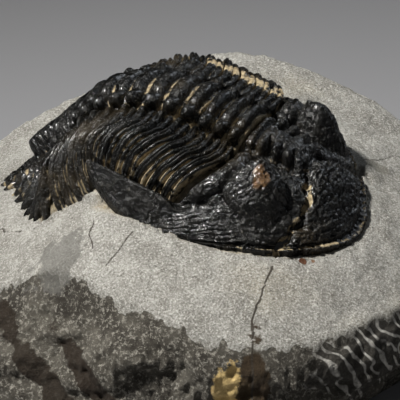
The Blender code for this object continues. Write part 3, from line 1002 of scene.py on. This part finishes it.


# %% [markdown]
# At the right end of the front flank a toothed chisel has left slanting pale strokes on black; that black
# ground is partly painted shade, like the rest of the flank. A wave texture draws them, bent by its own
# distortion so that no two are alike.

# %% Chisel marks
CHISELLED_AT, CHISELLED_REACH = (27.0, -30.0, 12.0), (13.0, 14.0, 8.0)
# the strokes' black ground is partly painted shade of the flank
CHISELLED_SHADED_DARK, CHISELLED_PALE = (0.050, 0.045, 0.038), (0.86, 0.83, 0.76)
STROKE_SCALE, STROKE_BEND = 185.0, 9.0


def chiselled(nodes, links, where, patch, broken, colour):
    strokes = nodes.new("ShaderNodeTexWave")
    strokes.bands_direction = "DIAGONAL"
    strokes.inputs["Scale"].default_value = STROKE_SCALE
    strokes.inputs["Distortion"].default_value = STROKE_BEND
    strokes.inputs["Detail"].default_value = 2.0
    links.new(where, strokes.inputs["Vector"])
    struck = spot_at(nodes, links, where, CHISELLED_AT, CHISELLED_REACH, patch)
    struck = combine(nodes, links, "MULTIPLY", struck, broken)
    crest = remap(nodes, links, strokes.outputs["Fac"], 0.66, 0.97)
    stripe = combine(nodes, links, "MULTIPLY", crest, remap(nodes, links, patch, 0.36, 0.56))
    # pale tool strokes on a black ground that is partly painted shade
    marks = paint(nodes, links, stripe, CHISELLED_SHADED_DARK, CHISELLED_PALE)
    return paint(nodes, links, combine(nodes, links, "MULTIPLY", struck, 0.75), colour, marks)


# %% [markdown]
# Now the recipes are laid over each other in the order that they have on the rock: the top or the broken
# inside, the tan rock under the plates, the stains and painted shadows, the chisel's strokes and last the
# cracks.

# %% The stone's finish
CRACK = (0.045, 0.036, 0.026)


def stone_material():
    made, nodes, links, shader = new_material("limestone")
    where = coordinates(nodes)
    broad = grain_noise(nodes, links, where, 12.0, 3.0)
    patch = grain_noise(nodes, links, where, 3.0, 5.0, 0.65)
    grit = grain_noise(nodes, links, where, 0.36, 5.0, 0.8)
    powder = grain_noise(nodes, links, where, 0.16, 3.0, 0.7)
    broken = read_value(nodes, "broken")
    ragged = combine(nodes, links, "ADD", broken, remap(nodes, links, patch, 0.3, 0.7, -0.3, 0.3))
    top = cleaned_rock(nodes, links, broad, patch, grit, powder)
    # the broken flanks, painted darker than the top partly as shade
    flank = broken_rock_and_shade(nodes, links, patch, grit)
    colour = paint(nodes, links, remap(nodes, links, ragged, 0.40, 0.55), top, flank)
    covered = combine(nodes, links, "MULTIPLY", read_value(nodes, "furrow"), patch)
    under = hidden_rock(nodes, links, grit)
    colour = paint(nodes, links, remap(nodes, links, covered, 0.12, 0.55), colour, under)
    # stains, and painted shadows in a hole and under the overhang of the front flank
    colour = stained_and_shadowed(nodes, links, where, patch, colour)
    colour = chiselled(nodes, links, where, patch, broken, colour)
    crack = remap(nodes, links, read_value(nodes, "crack"), 0.84, 0.93)
    colour = paint(nodes, links, combine(nodes, links, "MULTIPLY", crack, 0.95), colour, CRACK)
    links.new(colour, shader.inputs["Base Color"])
    links.new(remap(nodes, links, grit, 0.3, 0.7, 0.8, 1.0), shader.inputs["Roughness"])
    shader.inputs["Specular IOR Level"].default_value = 0.25
    carve(nodes, links, [(patch, 0.9, 0.6), (grit, 1.0, 0.9), (powder, 0.45, 0.9)], shader)
    return made


# %% Both finishes
FOSSIL_SHELL, LIMESTONE = shell_material(), stone_material()
print("materials:", FOSSIL_SHELL.name, LIMESTONE.name)

# %% [markdown]
# ## Joining the pieces to the frame
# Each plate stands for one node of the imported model, takes the place of it in the picture and rides on
# the one body there is. Nothing on a fossil moves.

# %% Ride and replace
for name, piece in pieces.items():
    node = name.split(".")[0]
    is_rock = node == "matrix_stone"
    piece.data.materials.append(LIMESTONE if is_rock else FOSSIL_SHELL)
    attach(piece, "root")
    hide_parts(node)
print(len(pieces), "pieces in place")

# %% [markdown]
# ## Floor, light and camera
# The block stands on a plain pale sweep: a floor whose far edge is extruded up a quarter turn into a
# wall, so no corner shows. One soft light high on the left and a little in front rakes across the ribs,
# which is how fossils are lit to bring out relief. A weak wide one lifts the shadows, and a third edges
# the back. The camera looks down at 25 degrees from far off with a long lens, so the animal isn't
# distorted.

# %% The sweep
SWEEP_HALF, SWEEP_FRONT, SWEEP_BACK, SWEEP_STEPS = 1.5, -1.2, 1.1, 12
SWEEP_STEP, WALL = 1.6 * math.pi / 24 * 0.4, 1.2
bm = bmesh.new()
bmesh.ops.create_grid(bm, x_segments=1, y_segments=1, size=0.5)
for vert in bm.verts:
    vert.co = (vert.co.x * 2 * SWEEP_HALF, SWEEP_BACK if vert.co.y > 0 else SWEEP_FRONT, 0)
far_edge = [edge for edge in bm.edges if all(vert.co.y > 0 for vert in edge.verts)]
for k in range(SWEEP_STEPS):
    made = bmesh.ops.extrude_edge_only(bm, edges=far_edge)
    far_edge = fresh(made, bmesh.types.BMEdge)
    turn = (k + 0.5) / SWEEP_STEPS * math.pi / 2
    move = (0, SWEEP_STEP * math.cos(turn), SWEEP_STEP * math.sin(turn))
    bmesh.ops.translate(bm, verts=fresh(made, bmesh.types.BMVert), vec=move)
made = bmesh.ops.extrude_edge_only(bm, edges=far_edge)
bmesh.ops.translate(bm, verts=fresh(made, bmesh.types.BMVert), vec=(0, 0, WALL))
bmesh.ops.recalc_face_normals(bm, faces=bm.faces)
mesh = bpy.data.meshes.new("sweep")
bm.to_mesh(mesh)
bm.free()
mesh.shade_smooth()
sweep = bpy.data.objects.new("sweep", mesh)
bpy.context.scene.collection.objects.link(sweep)
paper, nodes, links, shader = new_material("pale_paper")
shader.inputs["Base Color"].default_value = (0.185, 0.185, 0.19, 1)
shader.inputs["Roughness"].default_value = 0.9
sweep.data.materials.append(paper)


# %% Lights
CENTRE = Vector(PLACE * MM)
WARM_WHITE, COOL_WHITE, BLUE_WHITE = (1.0, 0.985, 0.96), (0.96, 0.98, 1.0), (0.85, 0.92, 1.0)


def soft_light(name, place, aim, size, power, colour, spread=180):
    lamp = bpy.data.lights.new(name, "AREA")
    lamp.shape, lamp.size, lamp.energy, lamp.color = "DISK", size, power, colour
    lamp.spread = math.radians(spread)
    made = bpy.data.objects.new(name, lamp)
    made.location = place
    made.rotation_euler = (Vector(aim) - Vector(place)).to_track_quat("-Z", "Y").to_euler()
    bpy.context.scene.collection.objects.link(made)
    print(name, "light:", power, "W")


soft_light("key", (-0.30, -0.13, 0.52), CENTRE + Vector((0.012, -0.004, 0)), 0.07, 0.76, WARM_WHITE, 54)
soft_light("fill", (0.25, -0.50, 0.40), CENTRE, 0.50, 0.22, COOL_WHITE)
soft_light("rim", (0.30, 0.36, 0.30), CENTRE, 0.16, 0.06, BLUE_WHITE, 60)
sky = bpy.data.worlds.new("studio")
sky.use_nodes = True
sky.node_tree.nodes["Background"].inputs["Color"].default_value = (0.80, 0.81, 0.83, 1)
sky.node_tree.nodes["Background"].inputs["Strength"].default_value = 0.045
bpy.context.scene.world = sky

# %% Camera
ELEVATION, DISTANCE = math.radians(25), 0.42
VIEW_WIDE = 0.2 / 3  # metres across what is seen, at the distance of the block
camera = bpy.data.cameras.new("camera")
camera.sensor_width = 36
camera.lens = camera.sensor_width * DISTANCE / VIEW_WIDE
camera.clip_start = 0.01
view = bpy.data.objects.new("camera", camera)
toward = Vector((0, math.cos(ELEVATION), -math.sin(ELEVATION)))
view.location = CENTRE - toward * DISTANCE
view.rotation_euler = toward.to_track_quat("-Z", "Y").to_euler()
print("lens:", round(camera.lens), "mm")
bpy.context.scene.collection.objects.link(view)
bpy.context.scene.camera = view
bpy.context.scene.view_settings.view_transform = "Standard"
